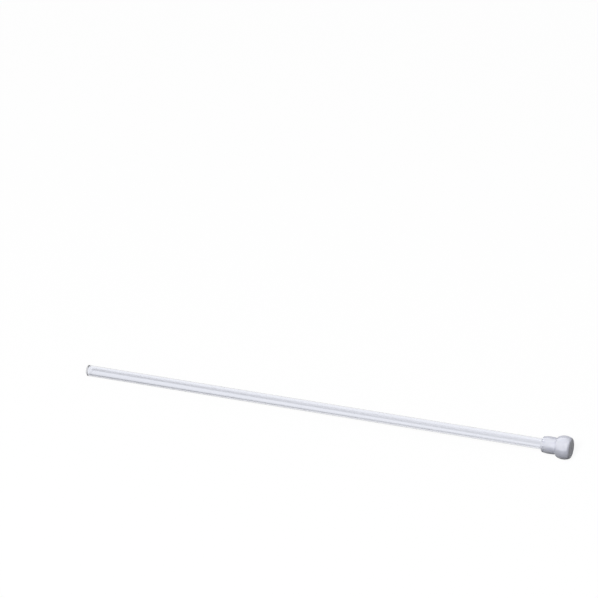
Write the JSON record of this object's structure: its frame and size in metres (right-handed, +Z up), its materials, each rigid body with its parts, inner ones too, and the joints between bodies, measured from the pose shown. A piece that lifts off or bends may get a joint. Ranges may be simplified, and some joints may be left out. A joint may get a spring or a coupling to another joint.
{
  "type": "nmr tube",
  "caption": "Long thin-walled glass sample tube with a closed end, lying down with its milky push-on plastic cap fitted.",
  "frame": {"origin": "on the resting surface, under the middle of the closed tube", "axes": "+X towards the capped end along the resting surface, +Z up; the tube's own axis lies in the XZ plane and rises 0.73 degrees towards the cap, because the cap's head is wider than the glass"},
  "size_m": [0.2316, 0.0108, 0.0108],
  "materials": {
    "glass": "clear, fire polished",
    "cap": "milky, satin, natural polyethylene"
  },
  "bodies": {
    "tube": {"glass_tube": "glass"},
    "closure": {"cap": "cap"}
  },
  "joints": [
    {"name": "cap_pull", "type": "slide", "parent": "tube", "child": "closure", "axis": [0.9999, 0, 0.0127], "range_m": [0, 0.025]}
  ]
}
